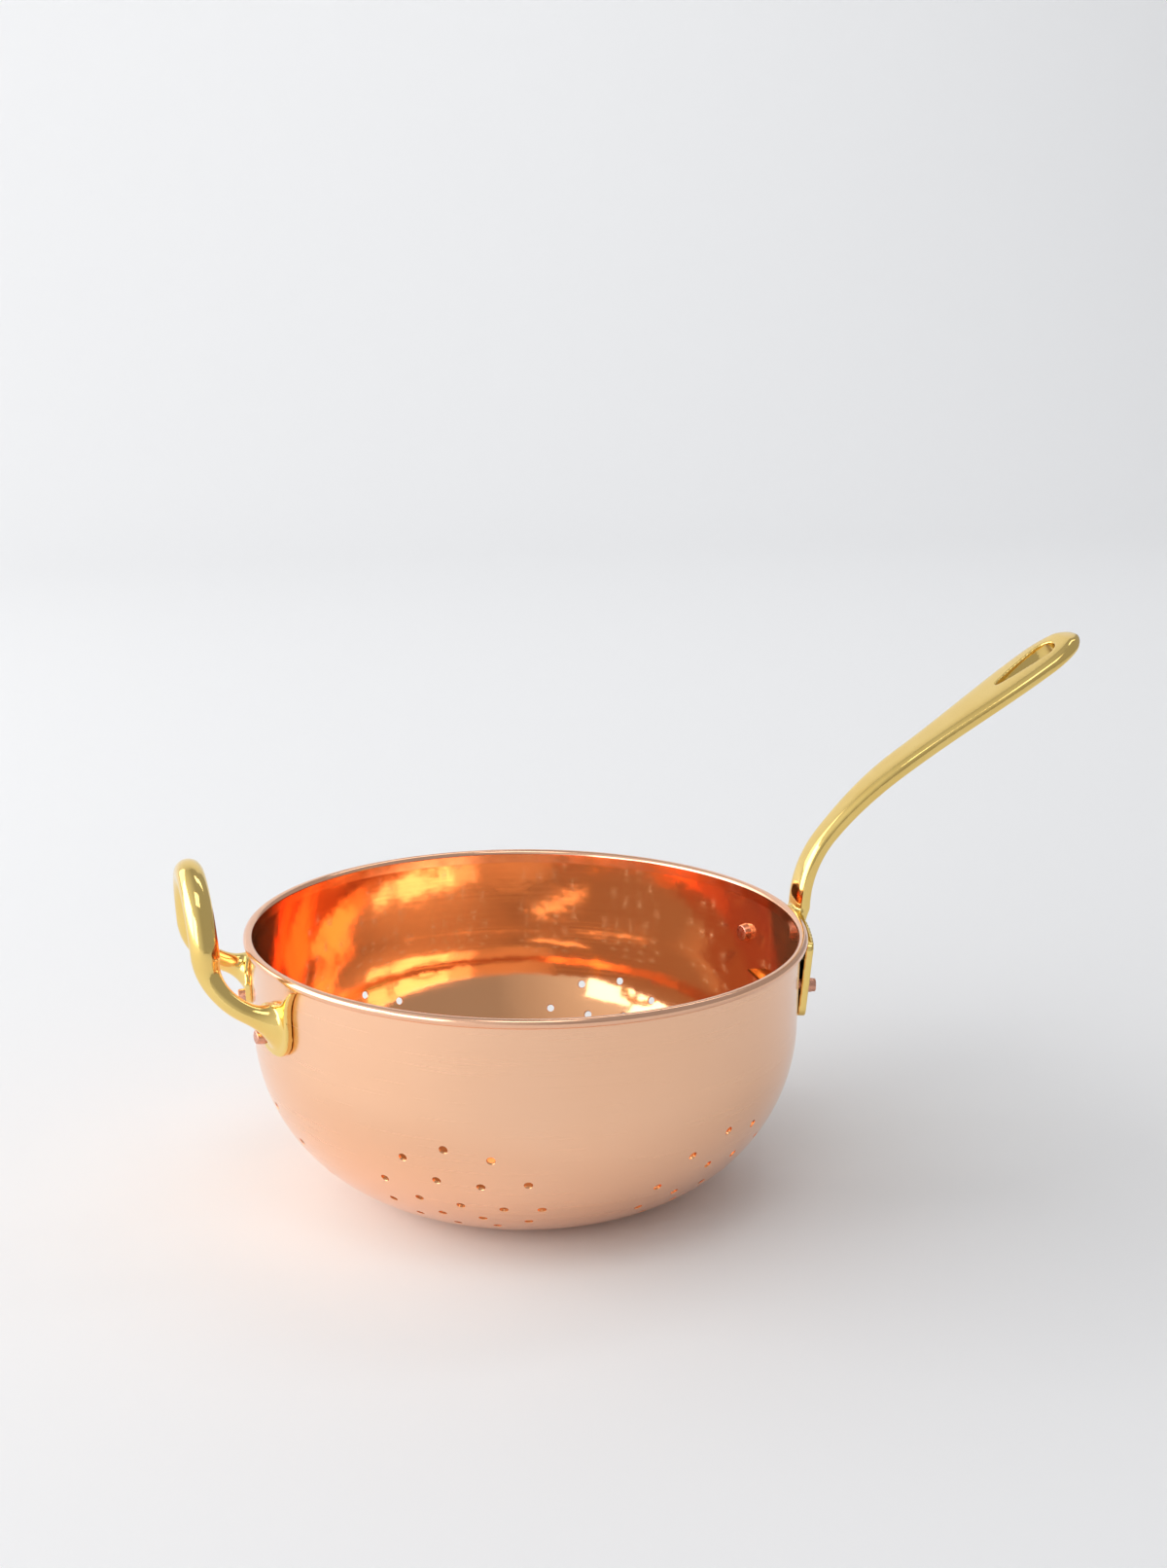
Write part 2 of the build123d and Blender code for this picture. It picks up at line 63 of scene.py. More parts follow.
paper_mesh = bpy.data.meshes.new("paper")
paper_points = []
for along, height in paper_profile():
    paper_points.append((-paper_half_width, along, height))
    paper_points.append((paper_half_width, along, height))
paper_faces = [(k, k + 1, k + 3, k + 2) for k in range(0, len(paper_points) - 2, 2)]
paper_mesh.from_pydata(paper_points, [], paper_faces)
paper_mesh.shade_smooth()
paper = bpy.data.objects.new("paper", paper_mesh)
bpy.context.scene.collection.objects.link(paper)

paper_paint = bpy.data.materials.new("matt_paper")
paper_paint.use_nodes = True
paper_shader = paper_paint.node_tree.nodes["Principled BSDF"]
paper_shader.inputs["Base Color"].default_value = (0.86, 0.86, 0.86, 1)
paper_shader.inputs["Roughness"].default_value = 0.75
paper_shader.inputs["Specular IOR Level"].default_value = 0.3
paper_mesh.materials.append(paper_paint)


# --- Camera -------------------------------------------------------------------------------
# A 50 mm lens about a metre away and 28 cm above the rim, tilted down, with a slight roll.
camera_place = Vector((-0.2304, -0.8600, 0.3965))
camera_forward = Vector((0.2762, 0.9305, -0.2407)).normalized()
camera_roll = radians(0.53)

level_right = camera_forward.cross(Vector((0, 0, 1))).normalized()
level_up = level_right.cross(camera_forward)
camera_right = level_right * cos(camera_roll) + level_up * sin(camera_roll)
camera_up = camera_right.cross(camera_forward)
camera = bpy.data.objects.new("camera", bpy.data.cameras.new("camera"))
camera.data.lens = 50
camera.data.sensor_width = 36
camera.data.sensor_fit = "AUTO"
camera.data.clip_start = 0.01
turned = Matrix((camera_right, camera_up, -camera_forward)).transposed()
camera.matrix_world = Matrix.Translation(camera_place) @ turned.to_4x4()
bpy.context.scene.collection.objects.link(camera)
bpy.context.scene.camera = camera


# --- Light --------------------------------------------------------------------------------
# A wide low window to the left with a smaller one on each side of it, a soft lamp overhead, and
# one more that lights the swept-up paper behind.
def soft_window(name, place, aim, width, height, power, colour):
    """Rectangular area light that faces a point."""
    light = bpy.data.lights.new(name, "AREA")
    light.shape = "RECTANGLE"
    light.size = width
    light.size_y = height
    light.energy = power
    light.color = colour
    lamp = bpy.data.objects.new(name, light)
    lamp.location = place
    lamp.rotation_euler = (Vector(aim) - Vector(place)).to_track_quat("-Z", "Y").to_euler()
    bpy.context.scene.collection.objects.link(lamp)
    return lamp


soft_window("window_left", (-2.48, 0.35, 0.88), (0, 0, 0.3), 2.4, 1.8, 49, (1.0, 0.995, 0.99))
soft_window("window_front", (-2.0, -1.3, 0.7), (0, 0, 0.2), 1.0, 1.3, 12, (1.0, 0.99, 0.98))
soft_window("window_behind", (-1.7, 1.7, 1.1), (0, 0, 0.2), 1.2, 1.4, 8, (1.0, 0.99, 0.985))
soft_window("ceiling_light", (-0.2, -1.0, 2.6), (0, 0, 0), 1.2, 1.0, 7, (1.0, 0.99, 0.98))
soft_window("sweep_light", (1.1, 0.8, 2.35), (1.0, 2.7, 0.9), 1.6, 1.2, 14, (0.98, 0.99, 1.0))

# The room: pale on the window's side, half as bright elsewhere.
room = bpy.data.worlds.new("room")
room.use_nodes = True
room_nodes = room.node_tree.nodes
room_links = room.node_tree.links
room_light = room_nodes["Background"]
heading = room_nodes.new("ShaderNodeTexCoord")
split_heading = room_nodes.new("ShaderNodeSeparateXYZ")
to_unit = room_nodes.new("ShaderNodeMapRange")
to_unit.inputs["From Min"].default_value = -1.0
to_unit.inputs["From Max"].default_value = 1.0
room_shades = room_nodes.new("ShaderNodeValToRGB")
room_shades.color_ramp.elements[0].position = 0.15
room_shades.color_ramp.elements[0].color = (0.84, 0.86, 0.89, 1)
room_shades.color_ramp.elements[1].position = 0.50
room_shades.color_ramp.elements[1].color = (0.40, 0.405, 0.42, 1)
room_links.new(heading.outputs["Generated"], split_heading.inputs["Vector"])
room_links.new(split_heading.outputs["X"], to_unit.inputs["Value"])
room_links.new(to_unit.outputs["Result"], room_shades.inputs["Fac"])
room_links.new(room_shades.outputs["Color"], room_light.inputs["Color"])
bpy.context.scene.world = room
bpy.context.scene.view_settings.view_transform = "Standard"


# --- Bowl ---------------------------------------------------------------------------------
# Copper sheet spun on a former, curled outwards over a wire at the rim, and drilled.
# Mirror polished inside and brushed to a satin outside.
wall = 1.2 * MM
base_radius = 42.5 * MM
side_radius = 74.0 * MM
wall_flare = 0.6 * MM
rim_height = 111.9 * MM
wire_cavity = 0.85 * MM
curl_end = radians(-108)
around = 288
arc_steps = 36

outer_wall = base_radius + side_radius
rim_radius = outer_wall + wall_flare
bead_radius = wire_cavity + wall
bead_centre = rim_radius + wire_cavity


def wall_reach(height):
    """Outer radius of the upright wall at a height."""
    return outer_wall + wall_flare * (height - side_radius) / (rim_height - side_radius)


def sheet_run(inset, steps):
    """Points up one face of the sheet, from the axis to just under the rim, with their normals."""
    run = [(base_radius * share, inset, 0.0, -1.0) for share in (0.0, 0.3, 0.6, 0.85)]
    radius = side_radius - inset
    for step in range(steps + 1):
        turn = radians(90 * step / steps)
        run.append((
            base_radius + radius * sin(turn), side_radius - radius * cos(turn), sin(turn), -cos(turn)
        ))
    for share in (0.15, 0.3, 0.45, 0.6, 0.75, 0.9):
        height = side_radius + share * (rim_height - side_radius)
        run.append((base_radius + radius + wall_flare * share, height, 1.0, 0.0))
    return run


def arc_run(radius, start, end, steps, side):
    """Points round the rim's curl, from one angle to another, with normals out (1) or in (-1)."""
    run = []
    for step in range(steps + 1):
        turn = start + (end - start) * step / steps
        run.append((
            bead_centre + radius * cos(turn), rim_height + radius * sin(turn),
            side * cos(turn), side * sin(turn),
        ))
    return run


def bowl_section():
    """The sheet's whole section, from the axis inside, over the curl, and back outside."""
    inside = [(r, z, -nr, -nz) for r, z, nr, nz in sheet_run(wall, arc_steps)]
    over = arc_run(bead_radius, pi, curl_end, 24, 1)
    under = arc_run(wire_cavity, curl_end, pi, 14, -1)
    outside = sheet_run(0.0, arc_steps)[::-1]
    return inside, over, under, outside


def lathe(name, runs, count):
    """Turns runs of (radius, height, normal) points about Z. Each run has its own material slot."""
    points = [point for run in runs for point in run]
    mesh = bpy.data.meshes.new(name)
    vertices = []
    faces = []
    groups = []
    rings = []
    for radius, height, _, _ in points:
        if radius < 1e-9:
            rings.append([len(vertices)])
            vertices.append((0, 0, height))
            continue
        rings.append(list(range(len(vertices), len(vertices) + count)))
        for index in range(count):
            turn = 2 * pi * index / count
            vertices.append((radius * cos(turn), radius * sin(turn), height))
    group_of = [number for number, run in enumerate(runs) for _ in run]
    for lower in range(len(rings) - 1):
        upper = lower + 1
        for index in range(count):
            after = (index + 1) % count
            low = rings[lower]
            high = rings[upper]
            if len(low) == 1:
                faces.append((low[0], high[index], high[after]))
            elif len(high) == 1:
                faces.append((low[index], high[0], low[after]))
            else:
                faces.append((low[index], high[index], high[after], low[after]))
            groups.append(group_of[upper])
    mesh.from_pydata(vertices, [], faces)
    mesh.polygons.foreach_set("material_index", groups)
    mesh.shade_smooth()
    made = bpy.data.objects.new(name, mesh)
    bpy.context.scene.collection.objects.link(made)
    return made


def shape_normal(point):
    """Exact outward direction of the sheet at a point on or near it, before any turn to the inside."""
    radius = sqrt(point.x ** 2 + point.y ** 2)
    level = Vector((point.x, point.y, 0)).normalized() if radius > 1e-9 else Vector((1, 0, 0))
    if radius < base_radius and point.z < side_radius / 2:
        return Vector((0, 0, -1))
    if point.z < side_radius:
        across = radius - base_radius
        drop = side_radius - point.z
        return (level * across - Vector((0, 0, drop))).normalized()
    lean = wall_flare / (rim_height - side_radius)
    return (level - Vector((0, 0, lean))).normalized()


# Rosettes of drain holes: six round the side, each given by its angle round the
# bowl and its angle up the side, and one in the base. Every hole has slightly broken edges.
hole_radius = 1.7 * MM
hole_break = 0.18 * MM
side_rosettes = ((0, 48), (53, 48), (119, 48), (180, 48), (240.4, 52.5), (302.5, 48))
rosette_sag = 0.68
rosette_rings = ((0.0, 1, 0.0), (17.2 * MM, 6, radians(-5)), (32.2 * MM, 11, radians(-3)))
rivet_hole_radius = 2.6 * MM
rivet_hole_break = 0.1 * MM
pad_front_turn = 32 * MM / rim_radius
pad_front_height = 87.0 * MM
pad_rear_turn = 30 * MM / rim_radius
pad_rear_height = 92.0 * MM
foot_rivet_turn = 25 * MM / rim_radius
foot_rivet_height = 83.5 * MM
rivet_axes = (
    ("long_handle_rivet_front", -pad_front_turn, pad_front_height),
    ("long_handle_rivet_rear", pad_rear_turn, pad_rear_height),
    ("helper_rivet_front", pi + foot_rivet_turn, foot_rivet_height),
    ("helper_rivet_rear", pi - foot_rivet_turn, foot_rivet_height),
)


def rosette_spots():
    """Places of a rosette's holes, across and along from its middle."""
    spots = []
    for ring_radius, count, turn in rosette_rings:
        for index in range(count):
            angle = turn + 2 * pi * index / count
            spots.append((ring_radius * cos(angle), ring_radius * sin(angle)))
    return spots


def hole_places():
    """Each drain hole's middle on the outer face and its direction out of the bowl."""
    places = []
    for across, along in rosette_spots():
        places.append((Vector((across, along, 0)), Vector((0, 0, -1))))
    for azimuth, middle in side_rosettes:
        for across, along in rosette_spots():
            rise = along if along > 0 else rosette_sag * along
            climb = radians(middle) + rise / side_radius
            halfway = radians(middle) + rise / side_radius / 2
            turn = radians(azimuth) + across / (base_radius + side_radius * sin(halfway))
            reach = base_radius + side_radius * sin(climb)
            height = side_radius * (1 - cos(climb))
            outward = Vector((sin(climb) * cos(turn), sin(climb) * sin(turn), -cos(climb)))
            places.append((Vector((reach * cos(turn), reach * sin(turn), height)), outward))
    return places


def add_spool(build, middle, outward, radius, flare, sides):
    """Adds a closed cutter that widens just before it leaves each face of the sheet."""
    side = outward.orthogonal().normalized()
    up = outward.cross(side)
    depth = wall + flare
    beyond = 1.0 * MM
    stations = (
        (flare + beyond, radius + flare + beyond), (-flare, radius),
        (flare - wall, radius), (-depth - beyond, radius + flare + beyond),
    )
    rings = []
    for rise, size in stations:
        ring = []
        for index in range(sides):
            turn = 2 * pi * index / sides
            spoke = side * cos(turn) + up * sin(turn)
            ring.append(build.verts.new(middle + outward * rise + spoke * size))
        rings.append(ring)
    for low, high in zip(rings, rings[1:]):
        for index in range(sides):
            after = (index + 1) % sides
            build.faces.new((low[index], high[index], high[after], low[after]))
    build.faces.new(rings[0])
    build.faces.new(rings[-1][::-1])


def carve(piece, cutter):
    """Subtracts the cutter from a piece for good and removes the cutter."""
    cut = piece.modifiers.new("cut", "BOOLEAN")
    cut.operation = "DIFFERENCE"
    cut.solver = "EXACT"
    cut.object = cutter
    settle(piece)
    bpy.data.objects.remove(cutter)


def settle(piece):
    """Applies all of a piece's modifiers to its mesh."""
    graph = bpy.context.evaluated_depsgraph_get()
    mesh = bpy.data.meshes.new_from_object(piece.evaluated_get(graph), depsgraph=graph)
    piece.modifiers.clear()
    piece.data = mesh


def object_from(build, name):
    """Turns built geometry into a linked object, with its faces outwards."""
    bmesh.ops.recalc_face_normals(build, faces=build.faces)
    mesh = bpy.data.meshes.new(name)
    build.to_mesh(mesh)
    build.free()
    made = bpy.data.objects.new(name, mesh)
    bpy.context.scene.collection.objects.link(made)
    return made


def new_metal(name, tones, gloss, marks, mark_depth, patch_size, wave_depth=0.0):
    """Metal whose broad patches shift its colour and whose fine polishing marks shift its gloss."""
    material = bpy.data.materials.new(name)
    material.use_nodes = True
    nodes = material.node_tree.nodes
    links = material.node_tree.links
    shader = nodes["Principled BSDF"]
    shader.inputs["Metallic"].default_value = 1.0
    place = nodes.new("ShaderNodeTexCoord")
    stretch = nodes.new("ShaderNodeMapping")
    stretch.inputs["Scale"].default_value = marks
    lines = nodes.new("ShaderNodeTexNoise")
    lines.inputs["Scale"].default_value = 1.0
    lines.inputs["Detail"].default_value = 3.0
    patches = nodes.new("ShaderNodeTexNoise")
    patches.inputs["Scale"].default_value = 1 / patch_size
    patches.inputs["Detail"].default_value = 4.0
    tone = nodes.new("ShaderNodeMix")
    tone.data_type = "RGBA"
    tone.inputs["A"].default_value = (*tones[0], 1)
    tone.inputs["B"].default_value = (*tones[1], 1)
    sheen = nodes.new("ShaderNodeMapRange")
    sheen.inputs["From Min"].default_value = 0.3
    sheen.inputs["From Max"].default_value = 0.7
    sheen.inputs["To Min"].default_value = gloss[0]
    sheen.inputs["To Max"].default_value = gloss[1]
    waves = nodes.new("ShaderNodeBump")
    waves.inputs["Distance"].default_value = wave_depth
    relief = nodes.new("ShaderNodeBump")
    relief.inputs["Distance"].default_value = mark_depth
    links.new(place.outputs["Object"], stretch.inputs["Vector"])
    links.new(stretch.outputs["Vector"], lines.inputs["Vector"])
    links.new(place.outputs["Object"], patches.inputs["Vector"])
    links.new(patches.outputs["Fac"], tone.inputs["Factor"])
    links.new(tone.outputs["Result"], shader.inputs["Base Color"])
    links.new(lines.outputs["Fac"], sheen.inputs["Value"])
    links.new(sheen.outputs["Result"], shader.inputs["Roughness"])
    links.new(patches.outputs["Fac"], waves.inputs["Height"])
    links.new(waves.outputs["Normal"], relief.inputs["Normal"])
    links.new(lines.outputs["Fac"], relief.inputs["Height"])
    links.new(relief.outputs["Normal"], shader.inputs["Normal"])
    return material


round_the_bowl = (14, 14, 1300)
polished_copper = new_metal(
    "polished_copper", ((0.95, 0.50, 0.25), (0.92, 0.42, 0.19)), (0.06, 0.12), round_the_bowl,
    0.002 * MM, 45 * MM, 0.4 * MM,
)
polished_copper.node_tree.nodes["Principled BSDF"].inputs["Metallic"].default_value = 0.95
satin_copper = new_metal(
    "satin_copper", ((0.96, 0.59, 0.39), (0.94, 0.54, 0.33)), (0.21, 0.28), round_the_bowl,
    0.002 * MM, 60 * MM,
)
satin_copper.node_tree.nodes["Principled BSDF"].inputs["Coat Weight"].default_value = 0.4
rim_copper = new_metal(
    "rim_copper", ((0.94, 0.56, 0.38), (0.90, 0.50, 0.31)), (0.12, 0.22), (90, 90, 90),
    0.003 * MM, 12 * MM,
)
bowl = lathe("copper_bowl", bowl_section(), around)
for material in (polished_copper, rim_copper, rim_copper, satin_copper):
    bowl.data.materials.append(material)
spools = bmesh.new()
for middle, outward in hole_places():
    add_spool(spools, middle, outward, hole_radius, hole_break, 28)
for node, turn, height in rivet_axes:
    outward = Vector((cos(turn), sin(turn), 0))
    middle = outward * wall_reach(height) + Vector((0, 0, height))
    add_spool(spools, middle, outward, rivet_hole_radius, rivet_hole_break, 24)
carve(bowl, object_from(spools, "spools"))


def smooth_sheet(piece):
    """Gives the sheet's two faces their exact normals, so that reflections run clean past every hole."""
    same_way = 0.97
    under_curl = rim_height - 2.2 * MM
    mesh = piece.data
    mesh.set_sharp_from_angle(angle=radians(35))
    normals = []
    for face in mesh.polygons:
        faceted = Vector(face.normal)
        middle = Vector(face.center)
        for loop in face.loop_indices:
            place = mesh.vertices[mesh.loops[loop].vertex_index].co
            exact = shape_normal(place)
            if middle.z > under_curl:
                normals.append(rim_normal(place, faceted))
            elif faceted.dot(exact) > same_way:
                normals.append(exact)
            elif faceted.dot(exact) < -same_way:
                normals.append(-exact)
            else:
                normals.append(faceted)
    mesh.normals_split_custom_set(normals)


def rim_normal(place, faceted):
    """Exact normal on the curl and the last of the wall beneath it."""
    slack = 0.05 * MM
    same_way = 0.9
    level = Vector((place.x, place.y, 0))
    radius = level.length
    level.normalize()
    spoke = Vector((radius - bead_centre, place.z - rim_height))
    ring = spoke.length
    round_normal = (level * spoke.x + Vector((0, 0, spoke.y))).normalized()
    if ring > bead_radius - slack and faceted.dot(round_normal) > same_way:
        return round_normal
    if ring < wire_cavity + slack and faceted.dot(round_normal) < -same_way:
        return -round_normal
    if abs(faceted.z) < 0.1:
        return level if faceted.dot(level) > 0 else -level
    return faceted


smooth_sheet(bowl)
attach(bowl, "root")
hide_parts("bowl")


# --- Long handle --------------------------------------------------------------------------
# Cast and polished brass: a pad that lies on the wall, a neck that rises past the rim, and a
# flat arm that widens to a rounded end with a slot to hang it by. Two copper rivets hold it.
pad_half_width = 38.0 * MM
pad_bottom = 74.0 * MM
pad_wing_top = 107.5 * MM
pad_shoulder_top = 113.0 * MM
pad_corner = 3.5 * MM
pad_front_hollow = 1.0
pad_rear_hollow = 3.0
shoulder_steps = 16
pad_middle = (0.0, 93.0 * MM)
pad_thickness = 3.5 * MM
pad_low_gap = 0.3 * MM
pad_rim_gap = 0.05 * MM
bead_outside = bead_centre + bead_radius
neck_thickness = 6.8 * MM
neck_width = 13.4 * MM
neck_standoff = 1.9 * MM
neck_root = 97.0 * MM
neck_top = 112.5 * MM
neck_bend = 49.0 * MM
bend_slope = radians(50)
arm_sweep = 162.0 * MM
arm_slope = radians(33.2)
arm_length = 98.0 * MM
arm_thickness = 7.2 * MM
arm_width = 19.0 * MM
arm_squareness = 3.4
tip_taper = 6 * MM
eye_width = 29.8 * MM
eye_reach = 23.0 * MM
slot_length = 32.4 * MM
slot_width = 12.6 * MM
slot_to_tip = 11.5 * MM
slot_point_radius = 1.3 * MM
slot_cutter_reach = 12 * MM
cast_grain = 0.45 * MM
cast_passes = 14


def pad_reach(height):
    """Radius of the pad's inner face: it leans out to clear the rolled rim."""
    low = wall_reach(pad_bottom) + pad_low_gap
    return low + (bead_outside + pad_rim_gap - low) * (height - pad_bottom) / (rim_height - pad_bottom)


def corner_run(middle_across, middle_height, size, start, steps=8):
    """Points round one quarter of a corner."""
    run = []
    for step in range(steps + 1):
        turn = radians(start + 90 * step / steps)
        run.append((middle_across + size * cos(turn), middle_height + size * sin(turn)))
    return run


def pad_side(hollow):
    """Half of the pad's outline, from its foot to the neck. A larger hollow keeps its shoulder low."""
    side = corner_run(pad_half_width - pad_corner, pad_bottom + pad_corner, pad_corner, -90)
    side += corner_run(pad_half_width - pad_corner, pad_wing_top - pad_corner, pad_corner, 0)
    start = pad_half_width - pad_corner
    for step in range(1, shoulder_steps + 1):
        share = step / shoulder_steps
        rise = (pad_shoulder_top - pad_wing_top) * share ** hollow
        side.append((start * (1 - share), pad_wing_top + rise))
    return side


def pad_outline():
    """The pad seen along the handle: square below, with uneven shoulders that rise to the neck."""
    rear = pad_side(pad_rear_hollow)
    front = [(-across, height) for across, height in pad_side(pad_front_hollow)]
    return rear + front[-2::-1]


def add_wrapped_plate(build, outline, middle, inner, thickness, place):
    """Adds a closed plate whose outline is wrapped round the bowl, in rings about its middle."""
    layers = []
    for lift in (0.0, thickness):
        hub = build.verts.new(place(middle[0], middle[1], inner(middle[1]) + lift))
        rings = []
        for share in (0.2, 0.4, 0.6, 0.8, 1.0):
            ring = []
            for across, height in outline:
                spread = middle[0] + share * (across - middle[0])
                level = middle[1] + share * (height - middle[1])
                ring.append(build.verts.new(place(spread, level, inner(level) + lift)))
            rings.append(ring)
        layers.append((hub, rings))
    count = len(outline)
    for number, (hub, rings) in enumerate(layers):
        for index in range(count):
            after = (index + 1) % count
            faces = [(hub, rings[0][index], rings[0][after])]
            for low, high in zip(rings, rings[1:]):
                faces.append((low[index], high[index], high[after], low[after]))
            for face in faces:
                build.faces.new(face if number else face[::-1])
    under = layers[0][1][-1]
    over = layers[1][1][-1]
    for index in range(count):
        after = (index + 1) % count
        build.faces.new((under[index], under[after], over[after], over[index]))


def add_loft(build, rings):
    """Adds a closed skin over rings of equal point counts."""
    made = [[build.verts.new(point) for point in ring] for ring in rings]
    for low, high in zip(made, made[1:]):
        for index in range(len(low)):
            after = (index + 1) % len(low)
            build.faces.new((low[index], low[after], high[after], high[index]))
    build.faces.new(made[0][::-1])
    build.faces.new(made[-1])


def arm_spine():
    """Stations of the neck and arm: place along X and Z, slope, half thickness and half width."""
    start = bead_outside + neck_standoff + neck_thickness / 2
    stations = []
    for share in (0.0, 0.2, 0.4, 0.6, 0.8):
        height = neck_root + share * (neck_top - neck_root)
        inside = pad_reach(height) + pad_thickness / 2
        rise = share * (start - pad_reach(neck_top) - pad_thickness / 2)
        thick = pad_thickness + share * (neck_thickness - pad_thickness)
        wide = neck_width * (1.08 + 0.82 * (1 - share) ** 2)
        stations.append((inside + rise, height, radians(90), thick / 2, wide / 2))
    for step in range(13):
        slope = radians(90) + (bend_slope - radians(90)) * step / 12
        place_x = start + neck_bend * (1 - sin(slope))
        place_z = neck_top + neck_bend * cos(slope)
        wide = neck_width * (1 + 0.08 * (1 - step / 12) ** 2)
        stations.append((place_x, place_z, slope, neck_thickness / 2, wide / 2))
    bend_x, bend_z = stations[-1][:2]
    for step in range(1, 13):
        share = step / 12
        slope = bend_slope + (arm_slope - bend_slope) * share
        place_x = bend_x + arm_sweep * (sin(bend_slope) - sin(slope))
        place_z = bend_z + arm_sweep * (cos(slope) - cos(bend_slope))
        ease = (1 - cos(pi * share)) / 2
        wide = neck_width + (arm_width - neck_width) * (0.35 * share + 0.65 * ease)
        thick = neck_thickness + (arm_thickness - neck_thickness) * share
        stations.append((place_x, place_z, arm_slope if step == 12 else slope, thick / 2, wide / 2))
    sweep_x, sweep_z = stations[-1][:2]
    for step in range(1, 41):
        run = arm_length * sin(radians(90) * step / 40)
        to_tip = arm_length - run
        if to_tip < eye_reach:
            wide = eye_width * sqrt(max(1 - (1 - to_tip / eye_reach) ** 2, 0.0004))
        else:
            share = (to_tip - eye_reach) / (arm_length - eye_reach)
            wide = arm_width + (eye_width - arm_width) * (1 + cos(pi * share)) / 2
        thick = arm_thickness * min(1.0, sqrt(max(to_tip, 0.02 * MM) / tip_taper))
        place_x = sweep_x + run * cos(arm_slope)
        place_z = sweep_z + run * sin(arm_slope)
        stations.append((place_x, place_z, arm_slope, thick / 2, wide / 2))
    return stations


def arm_ring(station, squareness, count=56):
    """Rounded section of the arm, square to its run."""
    place_x, place_z, slope, half_thick, half_wide = station
    ring = []
    for index in range(count):
        turn = 2 * pi * index / count
        across = half_wide * abs(cos(turn)) ** (2 / squareness) * (1 if cos(turn) > 0 else -1)
        lift = half_thick * abs(sin(turn)) ** (2 / squareness) * (1 if sin(turn) > 0 else -1)
        ring.append((place_x - lift * sin(slope), across, place_z + lift * cos(slope)))
    return ring


def slot_ring(lift):
    """Teardrop outline of the hanging slot, at a height over the arm's middle."""
    tip_x, tip_z = arm_spine()[-1][:2]
    big = slot_width / 2
    small = slot_point_radius
    outline = []
    for step in range(13):
        turn = radians(90 - 180 * step / 12)
        outline.append((slot_length - big + big * cos(turn), big * sin(turn)))
    for step in range(1, 12):
        share = step / 12
        width = small + (big - small) * (1 - share) ** 0.75
        outline.append((slot_length - big - share * (slot_length - big - small), -width))
    for step in range(7):
        turn = radians(-90 - 180 * step / 6)
        outline.append((small + small * cos(turn), small * sin(turn)))
    for step in range(11, 0, -1):
        share = step / 12
        width = small + (big - small) * (1 - share) ** 0.75
        outline.append((slot_length - big - share * (slot_length - big - small), width))
    ring = []
    for along, across in outline:
        back = slot_to_tip + slot_length - along
        ring.append((
            tip_x - back * cos(arm_slope) - lift * sin(arm_slope), across,
            tip_z - back * sin(arm_slope) + lift * cos(arm_slope),
        ))
    return ring


def cast_smooth(piece, grain, passes):
    """Melts a piece's joined parts into one cast skin and softens its edges."""
    skin = piece.modifiers.new("skin", "REMESH")
    skin.mode = "VOXEL"
    skin.voxel_size = grain
    skin.use_smooth_shade = True
    soften = piece.modifiers.new("soften", "SMOOTH")
    soften.factor = 0.5
    soften.iterations = passes
    settle(piece)
    piece.data.shade_smooth()


def merge(piece, other):
    """Adds another object's solid to a piece for good and removes it."""
    build = bmesh.new()
    build.from_mesh(piece.data)
    build.from_mesh(other.data)
    build.to_mesh(piece.data)
    build.free()
    bpy.data.objects.remove(other)


def on_long_side(spread, height, reach):
    """A point on the long handle's side of the bowl, by its distance round the wall."""
    turn = spread / rim_radius
    return (reach * cos(turn), reach * sin(turn), height)


def drill_rivets(piece, prefix):
    """Drills the rivet holes of one handle."""
    drill_reach = 12 * MM
    drills = bmesh.new()
    for node, turn, height in rivet_axes:
        if node.startswith(prefix):
            outward = Vector((cos(turn), sin(turn), 0))
            side = Vector((-sin(turn), cos(turn), 0))
            rings = []
            for reach in (bead_outside - drill_reach, bead_outside + drill_reach):
                ring = []
                for index in range(32):
                    angle = 2 * pi * index / 32
                    spoke = side * cos(angle) + Vector((0, 0, 1)) * sin(angle)
                    ring.append(outward * reach + Vector((0, 0, height)) + spoke * rivet_hole_radius)
                rings.append(ring)
            add_loft(drills, rings)
    carve(piece, object_from(drills, "drills"))


arm_build = bmesh.new()
add_loft(arm_build, [arm_ring(station, arm_squareness) for station in arm_spine()])
long_handle = object_from(arm_build, "brass_long_handle")
slot_build = bmesh.new()
add_loft(slot_build, [slot_ring(-slot_cutter_reach), slot_ring(slot_cutter_reach)])
carve(long_handle, object_from(slot_build, "slot"))
pad_build = bmesh.new()
add_wrapped_plate(pad_build, pad_outline(), pad_middle, pad_reach, pad_thickness, on_long_side)
pad = object_from(pad_build, "pad")
drill_rivets(pad, "long")
merge(long_handle, pad)
cast_smooth(long_handle, cast_grain, cast_passes)
polished_brass = new_metal(
    "polished_brass", ((0.93, 0.69, 0.25), (0.88, 0.60, 0.17)), (0.06, 0.14), (160, 160, 160),
    0.012 * MM, 18 * MM,
)
long_handle.data.materials.clear()
long_handle.data.materials.append(polished_brass)
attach(long_handle, "root")
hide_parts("long_handle")


